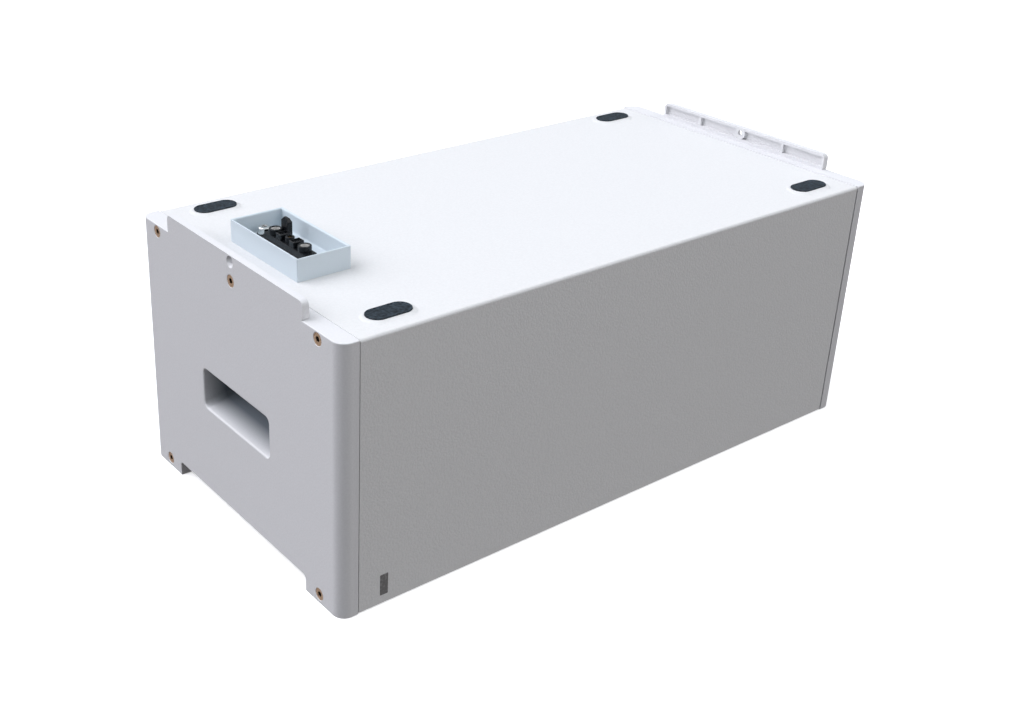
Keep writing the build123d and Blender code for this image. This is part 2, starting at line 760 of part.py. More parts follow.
def cell_supports():
    """Tray, spacers, end plates and straps that hold the cells together."""
    pack_middle = (pack_low + pack_high) / 2
    pack_length = pack_high - pack_low
    pack_half_width = row_y + cell_width / 2
    with BuildPart() as tray:
        with BuildSketch(Plane.XY.offset(case_bottom + sheet + 1.2)):
            with Locations((pack_middle, 0)):
                Rectangle(pack_length + 2 * end_plate, 2 * pack_half_width + 4)
        extrude(amount=cell_base - case_bottom - sheet - 1.2)
        with BuildSketch(Plane.XY.offset(cell_base)):
            with Locations((pack_middle, pack_half_width + 1), (pack_middle, -pack_half_width - 1)):
                Rectangle(pack_length + 2 * end_plate, 2)
            with Locations((pack_middle, 0)):
                Rectangle(pack_length, 2 * (row_y - cell_width / 2))
        extrude(amount=14)
        with BuildSketch(Plane.XY.offset(case_bottom + sheet + 1.2)):
            for index in range(2 * cells_per_row):
                with Locations(cell_spot(index)):
                    RectangleRounded(28, 110, 5)
        extrude(amount=5, mode=Mode.SUBTRACT)
    write(tray, "cell_tray")

    with BuildPart() as spacers:
        for place in range(cells_per_row - 1):
            x = first_cell_x + cell_pitch * (place + 0.5)
            with BuildSketch(Plane.XY.offset(cell_base + 2)):
                with Locations((x, row_y), (x, -row_y)):
                    Rectangle(cell_gap, cell_width - 6)
            extrude(amount=cell_height - 6)
    write(spacers, "cell_spacers")

    for name, face, way in (("left", pack_low, -1), ("right", pack_high, 1)):
        with BuildPart() as plate:
            with BuildSketch(Plane.YZ.offset(face)):
                with Locations((0, cell_base + (cell_height - 4) / 2)):
                    RectangleRounded(2 * pack_half_width, cell_height - 4, 6)
            extrude(amount=way * end_plate)
            with BuildSketch(Plane.YZ.offset(face + way * end_plate)):
                with Locations((0, cell_base + cell_height / 2)):
                    with GridLocations(64, 56, 4, 2):
                        RectangleRounded(54, 46, 5)
            extrude(amount=-way * 4, mode=Mode.SUBTRACT)
        write(plate, f"{name}_end_plate")

    strap = 1.5
    strap_height = 16.0
    reach = pack_half_width + 0.3
    hook = 5.0
    with BuildPart() as straps:
        for z in (46, 118):
            for y_side in (-1, 1):
                with BuildSketch(Plane.XY.offset(z)):
                    with BuildLine():
                        Polyline((pack_low - end_plate - strap, y_side * (reach - hook)),
                                 (pack_low - end_plate - strap, y_side * (reach + strap)),
                                 (pack_high + end_plate + strap, y_side * (reach + strap)),
                                 (pack_high + end_plate + strap, y_side * (reach - hook)),
                                 (pack_high + end_plate, y_side * (reach - hook)),
                                 (pack_high + end_plate, y_side * reach),
                                 (pack_low - end_plate, y_side * reach),
                                 (pack_low - end_plate, y_side * (reach - hook)), close=True)
                    make_face()
                extrude(amount=strap_height)
    write(straps, "compression_straps")


def link_spots():
    """Centres of the busbars that join neighbours: outer terminals first, then inner, alternately."""
    spots = []
    for place in range(cells_per_row - 1):
        x = first_cell_x + cell_pitch * (place + 0.5)
        offset = terminal_offset if place % 2 == 0 else -terminal_offset
        spots += [(x, row_y + offset), (x, -row_y - offset)]
    return spots


def busbars():
    """Series links on the terminals, their nuts and the insulating cover."""
    inner_y = row_y - terminal_offset
    last_x = first_cell_x + cell_pitch * (cells_per_row - 1)
    studs = [(cell_spot(i)[0], cell_spot(i)[1] + way * terminal_offset)
             for i in range(2 * cells_per_row) for way in (-1, 1)]
    tab_end = pack_low - end_plate - 10
    with BuildPart() as bars:
        with BuildSketch(Plane.XY.offset(busbar_level)):
            with Locations(*link_spots()):
                RectangleRounded(cell_pitch + 18, 18, 4)
            with Locations((last_x, 0)):
                RectangleRounded(18, 2 * inner_y + 18, 4)
            with Locations(*[((tab_end + first_cell_x + 9) / 2, y) for y in (-inner_y, inner_y)]):
                RectangleRounded(first_cell_x + 9 - tab_end, 18, 4)
            with Locations(*studs):
                Circle(3.0, mode=Mode.SUBTRACT)
            with Locations((tab_end + 7, inner_y), (tab_end + 7, -inner_y)):
                Circle(3.2, mode=Mode.SUBTRACT)
        extrude(amount=busbar_thickness)
    write(bars, "cell_busbars")

    with BuildPart() as nuts:
        with BuildSketch(Plane.XY.offset(busbar_level + busbar_thickness)):
            with Locations(*studs):
                RegularPolygon(5.8, 6)
                Circle(3.0, mode=Mode.SUBTRACT)
        extrude(amount=4.6)
    write(nuts, "busbar_nuts")

    cover_level = busbar_level + busbar_thickness + 8
    with BuildPart() as cover:
        with BuildSketch(Plane.XY.offset(cover_level)):
            with Locations(((pack_low + pack_high) / 2, 0)):
                RectangleRounded(pack_high - pack_low, 2 * row_y + cell_width, 6)
            for index in range(2 * cells_per_row):
                with Locations(cell_spot(index)):
                    SlotOverall(30, 10, rotation=90, mode=Mode.SUBTRACT)
        extrude(amount=2)
        with BuildSketch(Plane.XY.offset(cover_level)):
            for place in range(cells_per_row):
                with Locations((first_cell_x + place * cell_pitch, row_y - 25),
                               (first_cell_x + place * cell_pitch, -row_y + 25)):
                    Rectangle(3, 8)
        extrude(amount=cell_top - cover_level)
    write(cover, "busbar_cover")


# ---------------------------------------------------------------- electronics

board_x = pack_low - end_plate - 8
board_thickness = 1.6
board_height = 120.0
board_width = 220.0
board_z = 88.0
board_holes = [(y, board_z + z) for y in (-102, 102) for z in (-52, 52)]


def bms():
    """Battery management board on standoffs, facing the connector end."""
    with BuildPart() as board:
        with BuildSketch(Plane.YZ.offset(board_x)):
            with Locations((0, board_z)):
                RectangleRounded(board_width, board_height, 4)
            with Locations(*board_holes):
                Circle(1.8, mode=Mode.SUBTRACT)
        extrude(amount=-board_thickness)
    write(board, "bms_board")

    front = board_x - board_thickness
    sockets = [(6.3, 112, 22, 14, 10), (6.3, 76, 22, 14, 10)]
    chips = [(-60, 100, 14, 14, 2), (60, 100, 14, 14, 2), (-34, 70, 10, 10, 2), (40, 66, 12, 8, 2)]
    blocks = [(-84, 66, 18, 16, 14), (84, 66, 18, 16, 14), (84, 112, 16, 24, 12), (-84, 112, 16, 24, 12)]
    with BuildPart() as components:
        for y, z, across, up, out in sockets + chips + blocks:
            with BuildSketch(Plane.YZ.offset(front)):
                with Locations((y, z)):
                    RectangleRounded(across, up, 0.8)
            extrude(amount=-out)
        with BuildSketch(Plane.YZ.offset(front)):
            with Locations(*[(y, 44) for y in range(-50, 51, 20)]):
                Circle(5)
        extrude(amount=-12)
    write(components, "bms_components")

    with BuildPart() as standoffs:
        with BuildSketch(Plane.YZ.offset(board_x)):
            with Locations(*board_holes):
                RegularPolygon(3.4, 6)
                Circle(1.5, mode=Mode.SUBTRACT)
        extrude(amount=8)
    write(standoffs, "bms_standoffs")

    with BuildPart() as screws:
        with BuildSketch(Plane.YZ.offset(front)):
            with Locations(*board_holes):
                Circle(2.8)
        extrude(amount=-2)
        fillet(screws.faces().group_by(Axis.X)[0].edges(), 0.7)
        with BuildSketch(Plane.YZ.offset(front)):
            with Locations(*board_holes):
                Circle(1.4)
        extrude(amount=board_thickness + 5)
    write(screws, "bms_screws")


switch_spot = (-205.0, -100.0)
fuse_spot = (-210.0, 105.0)
floor_level = case_bottom + sheet
switch_top = floor_level + 62
fuse_level = floor_level + 24


def power_path():
    """Contactor and fuse that stand on the base pan beside the bottom socket."""
    with BuildPart() as contactor:
        with BuildSketch(Plane.XY.offset(floor_level)):
            with Locations(switch_spot):
                RectangleRounded(46, 62, 3)
        extrude(amount=4)
        with BuildSketch(Plane.XY.offset(floor_level + 4)):
            with Locations(switch_spot):
                RectangleRounded(40, 50, 5)
        extrude(amount=switch_top - floor_level - 10)
        with BuildSketch(Plane.XY.offset(switch_top - 6)):
            with Locations(*[(switch_spot[0], switch_spot[1] + way * 12) for way in (-1, 1)]):
                Circle(5)
        extrude(amount=6)
    write(contactor, "contactor")

    ends = [(fuse_spot[0], fuse_spot[1] + way * 17) for way in (-1, 1)]
    with BuildPart() as holder:
        with BuildSketch(Plane.XY.offset(floor_level)):
            with Locations(fuse_spot):
                RectangleRounded(30, 56, 3)
        extrude(amount=12)
        with BuildSketch(Plane.XY.offset(floor_level + 12)):
            with Locations(*ends):
                Rectangle(16, 10)
        extrude(amount=fuse_level - floor_level - 12)
    write(holder, "fuse_holder")

    with BuildPart() as fuse:
        with BuildSketch(Plane.XY.offset(fuse_level)):
            with Locations(fuse_spot):
                SlotOverall(46, 14, rotation=90)
        extrude(amount=2)
        with BuildSketch(Plane.XZ.offset(-fuse_spot[1])):
            with Locations((fuse_spot[0], fuse_level + 1)):
                Circle(6.5)
        extrude(amount=11, both=True)
    write(fuse, "fuse_link")


def cable(route, radii, radius):
    """Solid of one cable along straight runs joined by arcs."""
    with BuildPart() as strand:
        with BuildLine():
            path = FilletPolyline(*route, radius=radii)
        with BuildSketch(Plane(path @ 0, z_dir=path % 0)):
            Circle(radius)
        sweep(path=path)
    return strand.part


def cables():
    """Power cables and signal harness, each made whole along its real route."""
    lug = busbar_level + busbar_thickness + 3.6
    tab_x = pack_low - end_plate - 3
    inner_y = row_y - terminal_offset
    pin_foot = recess_roof + roof_thickness + 8
    fuse_top = fuse_level + 2
    up, down = power_y
    fuse_y = [fuse_spot[1] - 17, fuse_spot[1] + 17]
    switch_y = [switch_spot[1] - 12, switch_spot[1] + 12]
    routes = {
        "positive_cable": [
            [(connector_x, up, tail_end), (connector_x, up, 130), (fuse_spot[0], fuse_y[0], 104),
             (fuse_spot[0], fuse_y[0], fuse_top)],
            [(fuse_spot[0], fuse_y[1], fuse_top), (fuse_spot[0], fuse_y[1], 120),
             (-190, 60, lug + 4), (-172, inner_y, lug), (tab_x, inner_y, lug)],
        ],
        "negative_cable": [
            [(connector_x, down, pin_foot), (connector_x, down, 80), (switch_spot[0], switch_y[1], 110),
             (switch_spot[0], switch_y[1], switch_top)],
            [(switch_spot[0], switch_y[0], switch_top), (switch_spot[0], switch_y[0], 140),
             (-188, -60, lug + 4), (-172, -inner_y, lug), (tab_x, -inner_y, lug)],
        ],
        "signal_harness": [
            [(connector_x, collar_y, tail_end + 3), (connector_x, collar_y, 140), (-205, collar_y, 112),
             (board_x - board_thickness - 10, collar_y, 112)],
            [(connector_x, collar_y, pin_foot - 3), (connector_x, collar_y, 55), (-205, collar_y, 76),
             (board_x - board_thickness - 10, collar_y, 76)],
        ],
    }
    bends = {
        "positive_cable": [[18, 18], [24, 24, 14]],
        "negative_cable": [[18, 14], [22, 22, 14]],
        "signal_harness": [[24, 24], [18, 18]],
    }
    for name, strands in routes.items():
        radius = 2.6 if name == "signal_harness" else 3.5
        runs = [cable(route, radii, radius) for route, radii in zip(strands, bends[name])]
        with BuildPart() as lead:
            add(runs)
        write(lead, name)


case_cover()
base_pan()
status_window()
top_pads()
for cap_side in (-1, 1):
    end_cap(cap_side)
    cap_gasket(cap_side)
    bulkhead(cap_side)
    cap_screws(cap_side)
connector_collar()
top_connector_body()
top_connector_inserts()
top_connector_metal()
bottom_socket()
cells()
cell_supports()
busbars()
bms()
power_path()
cables()
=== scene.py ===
"""Looks of a stackable home battery module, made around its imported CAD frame.

Metres, in the frame of the CAD: +X along the length with the connector near -X, +Y to the back, +Z up.
"""
import json
import math

import bmesh
import bpy
from mathutils import Matrix, Vector


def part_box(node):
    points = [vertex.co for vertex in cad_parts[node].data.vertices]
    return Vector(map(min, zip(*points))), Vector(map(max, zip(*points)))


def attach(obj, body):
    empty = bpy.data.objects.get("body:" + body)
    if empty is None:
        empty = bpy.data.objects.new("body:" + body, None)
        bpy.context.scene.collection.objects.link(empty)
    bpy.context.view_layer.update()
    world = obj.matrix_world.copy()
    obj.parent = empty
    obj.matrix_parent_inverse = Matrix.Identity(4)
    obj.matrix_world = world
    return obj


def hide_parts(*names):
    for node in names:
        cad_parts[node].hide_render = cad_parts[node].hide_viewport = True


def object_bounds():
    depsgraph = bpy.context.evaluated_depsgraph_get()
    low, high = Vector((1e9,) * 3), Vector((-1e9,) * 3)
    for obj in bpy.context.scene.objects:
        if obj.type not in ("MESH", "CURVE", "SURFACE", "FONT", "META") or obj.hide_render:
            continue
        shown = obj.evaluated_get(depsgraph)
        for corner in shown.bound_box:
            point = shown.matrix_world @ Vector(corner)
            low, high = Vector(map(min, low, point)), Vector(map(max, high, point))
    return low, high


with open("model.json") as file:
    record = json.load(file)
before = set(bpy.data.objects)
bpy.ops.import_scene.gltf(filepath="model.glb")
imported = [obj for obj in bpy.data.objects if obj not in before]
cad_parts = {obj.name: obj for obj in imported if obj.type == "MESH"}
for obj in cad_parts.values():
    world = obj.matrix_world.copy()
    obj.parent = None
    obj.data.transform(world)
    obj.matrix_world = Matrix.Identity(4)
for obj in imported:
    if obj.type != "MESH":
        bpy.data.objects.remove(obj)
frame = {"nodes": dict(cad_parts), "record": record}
cad_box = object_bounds()
end_face = cad_box[1].x
mm = 0.001

# Camera: its pose in the frame of the CAD, with its lens in millimetres on a 36 mm film
camera_spot = Vector((-0.74607, -0.81825, 0.64223))
camera_azimuth = math.radians(-36.901)
camera_elevation = math.radians(24.874)
camera_roll = math.radians(1.1575)
camera_lens = 46.98
camera_shift = (0.1103, -0.0587)

# Studio: reach of floor and backdrop, and radiance of the sky below, at and above the horizon
stage_reach = 30.0
floor_drop = 0.1 * mm
floor_glow = 0.5
sky_below = (0.090, 0.080, 0.078)
sky_level = (0.085, 0.083, 0.083)
sky_above = (0.81, 0.875, 0.93)
sky_below_end = 0.46
sky_level_start = 0.52

# Soft lights: where each shines from, its power, colour and apparent size
key_from = (-1.63, 1.37, 2.13)
key_power = 2.95
key_colour = (0.99, 0.985, 1.045)
key_size = math.radians(70)
fill_from = (1.40, -1.60, 0.75)
fill_power = 1.08
fill_colour = (1.0, 0.97, 0.97)
fill_size = math.radians(60)

# Handle pocket: distances from the middle of the module, and the colour of the painted shade that darkens
# its inside
pocket_mouth = end_face - 1.0 * mm
pocket_back = end_face - 20.5 * mm
pocket_half = 51.5 * mm
pocket_middle = 111.0 * mm
pocket_rise = 18.5 * mm
pocket_painted_shade = (0.22, 0.25, 0.28)

# Cap screws: where the face of their heads ends and the painted shade inside their sockets is reached
head_face = end_face - 0.4 * mm
socket_inside = end_face - 1.1 * mm
socket_painted_shade = (0.05, 0.045, 0.05)

# Drawn or tumbled metal: size and depth of its marks
metal_grain = 1.2 * mm
metal_relief = 0.006 * mm

# Softened edges: how far apart corners still weld, which angles count as flat or sharp, how many
# facets an edge gets, how much its flat neighbours steer the shading, and each node's radius
weld = 1e-6
flat_angle = math.radians(0.5)
sharp_angle = math.radians(33)
edge_segments = 2
flat_face_weight = 50
soft_edges = {
    "left_end_cap": 0.35 * mm,
    "right_end_cap": 0.35 * mm,
    "case_cover": 0.25 * mm,
    "connector_collar": 0.2 * mm,
    "top_connector_body": 0.15 * mm,
    "top_connector_inserts": 0.12 * mm,
    "left_cap_screws": 0.12 * mm,
    "right_cap_screws": 0.12 * mm,
    "top_connector_screws": 0.12 * mm,
    "status_window": 0.1 * mm,
}

# Rubber pads: height, rounded shoulder, and the field that is sunk inside a raised rim
pad_height = 1.0 * mm
pad_shoulder = 0.4 * mm
pad_rim = 1.1 * mm
pad_field = 1.35 * mm
pad_sink = 0.15 * mm
pad_field_rings = (0.35, 0.6, 0.85, 0.97)
pad_shoulder_steps = 5
pad_end_points = 20


# ---------------------------------------------------------------- materials

class Finish:
    """A node material round one Principled shader, patterned in the object's own metres."""

    def __init__(self, name, roughness, **sockets):
        self.material = bpy.data.materials.new(name)
        self.material.use_nodes = True
        self.tree = self.material.node_tree
        self.shader = self.tree.nodes["Principled BSDF"]
        self.shader.inputs["Roughness"].default_value = roughness
        for socket, value in sockets.items():
            self.shader.inputs[socket.replace("_", " ")].default_value = value
        self.coordinates = self.tree.nodes.new("ShaderNodeTexCoord").outputs["Object"]
        self.relief = None

    def noise(self, size, detail=2.0, stretch=(1, 1, 1)):
        """Cloudy noise whose patches are about size metres across, longer where stretch is larger."""
        mapping = self.tree.nodes.new("ShaderNodeMapping")
        mapping.inputs["Scale"].default_value = [1 / (size * s) for s in stretch]
        self.tree.links.new(self.coordinates, mapping.inputs["Vector"])
        node = self.tree.nodes.new("ShaderNodeTexNoise")
        node.inputs["Scale"].default_value = 1.0
        node.inputs["Detail"].default_value = detail
        self.tree.links.new(mapping.outputs["Vector"], node.inputs["Vector"])
        return node.outputs["Fac"]

    def places(self):
        """The object's own X, Y and Z as separate factors."""
        split = self.tree.nodes.new("ShaderNodeSeparateXYZ")
        self.tree.links.new(self.coordinates, split.inputs["Vector"])
        return split.outputs

    def ramp(self, factor, start, end, low, high):
        """Colours low to high as factor goes from start to end."""
        node = self.tree.nodes.new("ShaderNodeValToRGB")
        first, last = node.color_ramp.elements
        first.position = start
        first.color = (*low, 1)
        last.position = end
        last.color = (*high, 1)
        self.tree.links.new(factor, node.inputs["Fac"])
        return node.outputs["Color"]

    def multiply(self, first, second):
        """Product of two colour outputs."""
        node = self.tree.nodes.new("ShaderNodeMix")
        node.data_type = "RGBA"
        node.blend_type = "MULTIPLY"
        node.inputs["Factor"].default_value = 1.0
        self.tree.links.new(first, node.inputs["A"])
        self.tree.links.new(second, node.inputs["B"])
        return node.outputs["Result"]

    def colour(self, output):
        """Drives the base colour."""
        self.tree.links.new(output, self.shader.inputs["Base Color"])

    def gloss(self, factor, low, high):
        """Roughness that varies between low and high with factor."""
        node = self.tree.nodes.new("ShaderNodeMapRange")
        node.inputs["From Min"].default_value = 0.3
        node.inputs["From Max"].default_value = 0.7
        node.inputs["To Min"].default_value = low
        node.inputs["To Max"].default_value = high
        self.tree.links.new(factor, node.inputs["Value"])
        self.tree.links.new(node.outputs["Result"], self.shader.inputs["Roughness"])

    def window(self, coordinate, middle, outer, inner):
        """Nought where coordinate lies more than outer from middle, rising to one within inner."""
        offset = self.tree.nodes.new("ShaderNodeMath")
        offset.operation = "SUBTRACT"
        offset.inputs[1].default_value = middle
        self.tree.links.new(coordinate, offset.inputs[0])
        size = self.tree.nodes.new("ShaderNodeMath")
        size.operation = "ABSOLUTE"
        self.tree.links.new(offset.outputs["Value"], size.inputs[0])
        node = self.tree.nodes.new("ShaderNodeMapRange")
        node.inputs["From Min"].default_value = outer
        node.inputs["From Max"].default_value = inner
        self.tree.links.new(size.outputs["Value"], node.inputs["Value"])
        return node.outputs["Result"]

    def product(self, first, second):
        """Product of two factors."""
        node = self.tree.nodes.new("ShaderNodeMath")
        node.operation = "MULTIPLY"
        self.tree.links.new(first, node.inputs[0])
        self.tree.links.new(second, node.inputs[1])
        return node.outputs["Value"]

    def uprightness(self, level):
        """One on upright faces of the object, falling to level on those that face up or down."""
        turn = self.tree.nodes.new("ShaderNodeTexCoord")
        split = self.tree.nodes.new("ShaderNodeSeparateXYZ")
        self.tree.links.new(turn.outputs["Normal"], split.inputs["Vector"])
        size = self.tree.nodes.new("ShaderNodeMath")
        size.operation = "ABSOLUTE"
        self.tree.links.new(split.outputs["Z"], size.inputs[0])
        node = self.tree.nodes.new("ShaderNodeMapRange")
        node.inputs["To Min"].default_value = 1.0
        node.inputs["To Max"].default_value = level
        self.tree.links.new(size.outputs["Value"], node.inputs["Value"])
        return node.outputs["Result"]

    def bump(self, height, depth, strength=None):
        """Adds relief of that depth in metres, over any relief added before."""
        node = self.tree.nodes.new("ShaderNodeBump")
        if strength is not None:
            self.tree.links.new(strength, node.inputs["Strength"])
        node.inputs["Distance"].default_value = depth
        self.tree.links.new(height, node.inputs["Height"])
        if self.relief is not None:
            self.tree.links.new(self.relief, node.inputs["Normal"])
        self.relief = node.outputs["Normal"]
        self.tree.links.new(self.relief, self.shader.inputs["Normal"])


def shade(colour, factor):
    """A colour made lighter or darker."""
    return tuple(min(1.0, c * factor) for c in colour)


def powder_coat(name, colour, grain, depth, roughness):
    """Baked powder coat: pebbled relief that lies flatter on top, with a trace of tinted speckle."""
    finish = Finish(name, roughness)
    fine = finish.noise(grain, detail=2.0)
    speckle = finish.ramp(fine, 0.32, 0.68, shade(colour, 0.975), shade(colour, 1.025))
    tint = finish.ramp(finish.noise(1.3 * grain, detail=1.0), 0.35, 0.65,
                       (1.0, 0.992, 0.994), (0.994, 0.998, 1.0))
    finish.colour(finish.multiply(speckle, tint))
    finish.gloss(fine, roughness - 0.05, roughness + 0.06)
    finish.bump(fine, depth, finish.uprightness(0.10))
    return finish.material


def moulded_plastic(name, colour, grain, depth, roughness, spread=0.05, sheen=0.5):
    """Moulded plastic with a spark-eroded grain and faint flow marks."""
    finish = Finish(name, roughness, Specular_IOR_Level=sheen)
    fine = finish.noise(grain, detail=3.0)
    speckle = finish.ramp(fine, 0.3, 0.7, shade(colour, 1 - spread), shade(colour, 1 + spread))
    flow = finish.ramp(finish.noise(35 * mm, detail=2.0, stretch=(1, 3, 1)), 0.3, 0.7,
                       (0.985, 0.985, 0.985), (1, 1, 1))
    finish.colour(finish.multiply(speckle, flow))
    finish.gloss(fine, roughness - 0.06, roughness + 0.06)
    finish.bump(fine, depth)
    return finish.material


def cap_plastic(name, colour):
    """Grained plastic of the end caps, with painted shade darkening it towards the back of the handle
    pocket.
    """
    finish = Finish(name, 0.60)
    fine = finish.noise(1.6 * mm, detail=2.0)
    speckle = finish.ramp(fine, 0.3, 0.7, shade(colour, 0.975), shade(colour, 1.025))
    # Painted shade: the inside of the handle pocket is darkened in the colour, standing in for the shadow
    # in the recess
    place = finish.places()
    deep = finish.window(place["X"], 0, pocket_mouth, pocket_back)
    across = finish.window(place["Y"], 0, pocket_half + mm, pocket_half)
    upright = finish.window(place["Z"], pocket_middle, pocket_rise + mm, pocket_rise)
    inside = finish.product(deep, finish.product(across, upright))
    finish.colour(finish.multiply(speckle, finish.ramp(inside, 0.0, 1.0, (1, 1, 1), pocket_painted_shade)))
    finish.gloss(fine, 0.54, 0.66)
    finish.bump(fine, 0.14 * mm, finish.uprightness(0.15))
    return finish.material


def soft_rubber(name, colour, patch, depth, roughness, spread=0.35, sheen=0.5):
    """Rubber or foam: mottled with bloom and handling marks."""
    finish = Finish(name, roughness, Specular_IOR_Level=sheen)
    mottle = finish.noise(patch, detail=4.0)
    finish.colour(finish.ramp(mottle, 0.34, 0.68, shade(colour, 1 - spread), shade(colour, 1 + spread)))
    finish.gloss(mottle, roughness - 0.1, roughness + 0.1)
    finish.bump(finish.noise(0.5 * mm, detail=2.0), depth)
    return finish.material


def marked_metal(name, colour, roughness, streak, metallic):
    """A finish with the marks of drawn or tumbled metal, and the colour that goes with them."""
    finish = Finish(name, roughness, Metallic=metallic)
    marks = finish.noise(metal_grain, detail=3.0, stretch=streak)
    finish.gloss(marks, roughness * 0.7, roughness * 1.35)
    finish.bump(marks, metal_relief)
    return finish, finish.ramp(marks, 0.3, 0.7, shade(colour, 0.86), shade(colour, 1.06))


def bare_metal(name, colour, roughness, streak=(1, 1, 1), metallic=1.0):
    """Metal all over; streak stretches its marks along an axis."""
    finish, plate = marked_metal(name, colour, roughness, streak, metallic)
    finish.colour(plate)
    return finish.material


def socket_head(name, colour, roughness, metallic):
    """Plated metal of the cap screws, with painted shade inside their sockets."""
    finish, plate = marked_metal(name, colour, roughness, (1, 1, 1), metallic)
    # Painted shade: the inside of each hex socket is darkened in the colour, standing in for the shadow in
    # the recess
    inside = finish.window(finish.places()["X"], 0, head_face, socket_inside)
    finish.colour(finish.multiply(plate, finish.ramp(inside, 0.0, 1.0, (1, 1, 1), socket_painted_shade)))
    return finish.material


def circuit_board(name):
    """Green solder mask over copper runs."""
    finish = Finish(name, 0.35)
    bricks = finish.tree.nodes.new("ShaderNodeTexBrick")
    bricks.inputs["Scale"].default_value = 90.0
    bricks.inputs["Mortar Size"].default_value = 0.035
    bricks.inputs["Color1"].default_value = (0.012, 0.10, 0.045, 1)
    bricks.inputs["Color2"].default_value = (0.016, 0.125, 0.055, 1)
    bricks.inputs["Mortar"].default_value = (0.03, 0.20, 0.09, 1)
    finish.tree.links.new(finish.coordinates, bricks.inputs["Vector"])
    finish.colour(bricks.outputs["Color"])
    finish.bump(bricks.outputs["Fac"], 0.03 * mm)
    return finish.material


def milky_sheet(name):
    """Clouded polycarbonate sheet."""
    finish = Finish(name, 0.28, Transmission_Weight=0.35, IOR=1.5)
    cloud = finish.noise(14 * mm, detail=3.0)
    finish.colour(finish.ramp(cloud, 0.3, 0.7, (0.70, 0.73, 0.75), (0.80, 0.82, 0.84)))
    finish.gloss(cloud, 0.22, 0.36)
    return finish.material


def smoked_window(name):
    """Smoked plastic window with fine moulding marks."""
    finish = Finish(name, 0.22)
    cloud = finish.noise(2.5 * mm, detail=3.0)
    finish.colour(finish.ramp(cloud, 0.3, 0.7, (0.18, 0.176, 0.176), (0.225, 0.22, 0.22)))
    finish.gloss(cloud, 0.18, 0.34)
    finish.bump(cloud, 0.01 * mm)
    return finish.material


materials = {
    "case_coat": powder_coat("textured_coat", (0.700, 0.700, 0.700), 1.7 * mm, 0.26 * mm, 0.60),
    "pan_coat": powder_coat("pan_coat", (0.66, 0.665, 0.67), 1.7 * mm, 0.20 * mm, 0.60),
    "cap_plastic": cap_plastic("cap_plastic", (0.700, 0.698, 0.712)),
    "collar_plastic": moulded_plastic("collar_plastic", (0.595, 0.665, 0.715), 0.5 * mm, 0.012 * mm, 0.42,
                                      spread=0.02),
    "connector_plastic": moulded_plastic("connector_plastic", (0.006, 0.007, 0.009), 0.4 * mm,
                                         0.010 * mm, 0.28, spread=0.2, sheen=0.3),
    "socket_plastic": moulded_plastic("socket_plastic", (0.045, 0.046, 0.05), 0.6 * mm, 0.02 * mm,
                                      0.45, spread=0.15),
    "tray_plastic": moulded_plastic("tray_plastic", (0.06, 0.06, 0.065), 0.7 * mm, 0.03 * mm, 0.5,
                                    spread=0.15),
    "component_black": moulded_plastic("component_black", (0.022, 0.022, 0.025), 0.5 * mm, 0.02 * mm,
                                       0.45, spread=0.2),
    "fuse_body": moulded_plastic("fuse_body", (0.72, 0.68, 0.58), 0.9 * mm, 0.02 * mm, 0.4),
    "cell_can": moulded_plastic("cell_can", (0.05, 0.15, 0.42), 6 * mm, 0.03 * mm, 0.32, spread=0.12),
    "pad_rubber": soft_rubber("pad_rubber", (0.026, 0.035, 0.044), 2.0 * mm, 0.02 * mm, 0.7, spread=0.7,
                              sheen=0.15),
    "seam_rubber": soft_rubber("seam_rubber", (0.012, 0.012, 0.012), 3.0 * mm, 0.02 * mm, 0.8),
    "foam": soft_rubber("foam", (0.52, 0.53, 0.50), 1.2 * mm, 0.2 * mm, 0.9, spread=0.15),
    "orange_jacket": soft_rubber("orange_jacket", (0.78, 0.20, 0.02), 4.0 * mm, 0.02 * mm, 0.45,
                                 spread=0.08),
    "black_jacket": soft_rubber("black_jacket", (0.012, 0.012, 0.013), 4.0 * mm, 0.02 * mm, 0.45),
    "grey_jacket": soft_rubber("grey_jacket", (0.16, 0.165, 0.17), 1.0 * mm, 0.06 * mm, 0.7),
    "contact_metal": bare_metal("silver_plate", (0.90, 0.89, 0.87), 0.22, metallic=0.6),
    "pin_metal": bare_metal("gold_flash", (0.86, 0.66, 0.32), 0.22),
    "stud_steel": bare_metal("nickel_plate", (0.80, 0.80, 0.79), 0.18),
    "zinc_screw": socket_head("yellow_zinc", (0.66, 0.45, 0.30), 0.30, metallic=0.35),
    "nut_steel": bare_metal("zinc_plate", (0.62, 0.62, 0.61), 0.35),
    "frame_aluminium": bare_metal("mill_aluminium", (0.76, 0.77, 0.78), 0.38, streak=(1, 14, 1)),
    "busbar_metal": bare_metal("plated_link", (0.78, 0.76, 0.72), 0.3, streak=(14, 1, 1)),
    "cover_plastic": milky_sheet("milky_sheet"),
    "board_green": circuit_board("solder_mask"),
    "window_plastic": smoked_window("smoked_window"),
}
slots = {part["node"]: part["material_slot"] for part in frame["record"]["subparts"]}
for node, thing in frame["nodes"].items():
    thing.data.materials.clear()
    thing.data.materials.append(materials[slots[node]])


# ---------------------------------------------------------------- pieces

def add_piece(name, shape, node):
    """Makes an object of a bmesh that rides on the module and stands for a CAD node."""
    mesh = bpy.data.meshes.new(name)
    shape.to_mesh(mesh)
    shape.free()
    if "custom_normal" in mesh.attributes:
        mesh.attributes.remove(mesh.attributes["custom_normal"])
    mesh.materials.clear()
    mesh.materials.append(materials[slots[node]])
    piece = bpy.data.objects.new(name, mesh)
    bpy.context.scene.collection.objects.link(piece)
    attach(piece, "root")
    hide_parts(node)
    return piece


